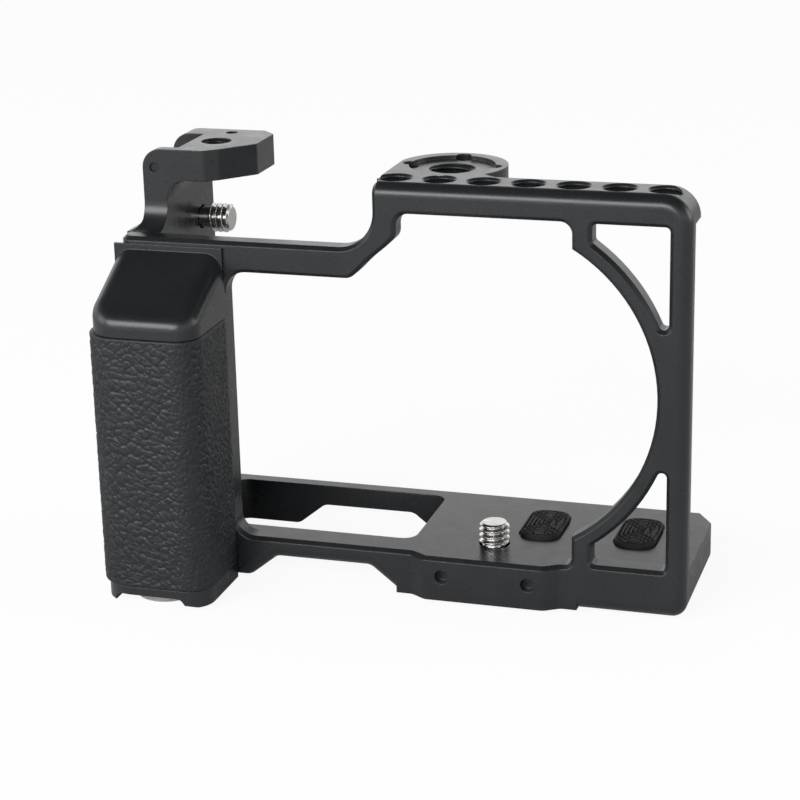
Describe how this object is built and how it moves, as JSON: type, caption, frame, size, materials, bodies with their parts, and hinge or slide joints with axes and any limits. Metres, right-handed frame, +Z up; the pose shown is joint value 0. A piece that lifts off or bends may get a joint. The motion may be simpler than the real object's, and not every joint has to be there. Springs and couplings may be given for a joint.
{
  "type": "camera cage",
  "caption": "Machined frame round a small camera, with a leather front grip, captive screws, a bracket, rubber pads and threaded holes.",
  "frame": {"origin": "axis of the camera screw at the seat that the camera stands on", "axes": "+Z up along the camera screw, +X along the cage's length away from the grip, +Y to the camera's back"},
  "size_m": [0.1206, 0.055, 0.0915],
  "materials": {
    "frame_metal": "black anodised, satin",
    "grip_metal": "black anodised, satin",
    "grip_leather": "black, pebbled",
    "dark_screw": "black oxide",
    "bright_screw": "bright stainless",
    "washer": "black nylon",
    "spring_steel": "plain steel",
    "pad_rubber": "black, waffle top"
  },
  "bodies": {
    "cage": {"cage_frame": "frame_metal", "grip_body": "grip_metal", "grip_leather": "grip_leather", "grip_fixing_screws": "dark_screw", "camera_screw_ring": "spring_steel", "strap_pin": "spring_steel", "pad_left": "pad_rubber", "pad_right": "pad_rubber"},
    "camera_washer_body": {"camera_screw_washer": "washer"},
    "camera_screw_body": {"camera_screw": "bright_screw"},
    "side_washer_body": {"side_screw_washer": "washer"},
    "side_screw_body": {"side_screw": "bright_screw"},
    "grip_washer_body": {"grip_screw_washer": "washer"},
    "grip_screw_body": {"grip_screw": "bright_screw"}
  },
  "joints": [
    {"name": "camera_screw_float", "type": "slide", "parent": "cage", "child": "camera_washer_body", "axis": [0, 0, 1], "range_m": [-0.0013, 0]},
    {"name": "camera_screw_turn", "type": "hinge", "parent": "camera_washer_body", "child": "camera_screw_body", "pos_m": [0, 0, 0], "axis": [0, 0, 1], "continuous": true},
    {"name": "side_screw_float", "type": "slide", "parent": "cage", "child": "side_washer_body", "axis": [1, 0, 0], "range_m": [-0.0009, 0]},
    {"name": "side_screw_turn", "type": "hinge", "parent": "side_washer_body", "child": "side_screw_body", "pos_m": [-0.066, 0.019, 0.0623], "axis": [1, 0, 0], "continuous": true},
    {"name": "grip_screw_lift", "type": "slide", "parent": "cage", "child": "grip_washer_body", "axis": [0, 0, 1], "range_m": [0, 0.00105]},
    {"name": "grip_screw_turn", "type": "hinge", "parent": "grip_washer_body", "child": "grip_screw_body", "pos_m": [-0.067, -0.0176, -0.008], "axis": [0, 0, 1], "range_deg": [0, 297.5]}
  ],
  "couplings": [
    {"joint": "grip_screw_lift", "follows": "grip_screw_turn", "m_per_rad": 0.00020213}
  ]
}
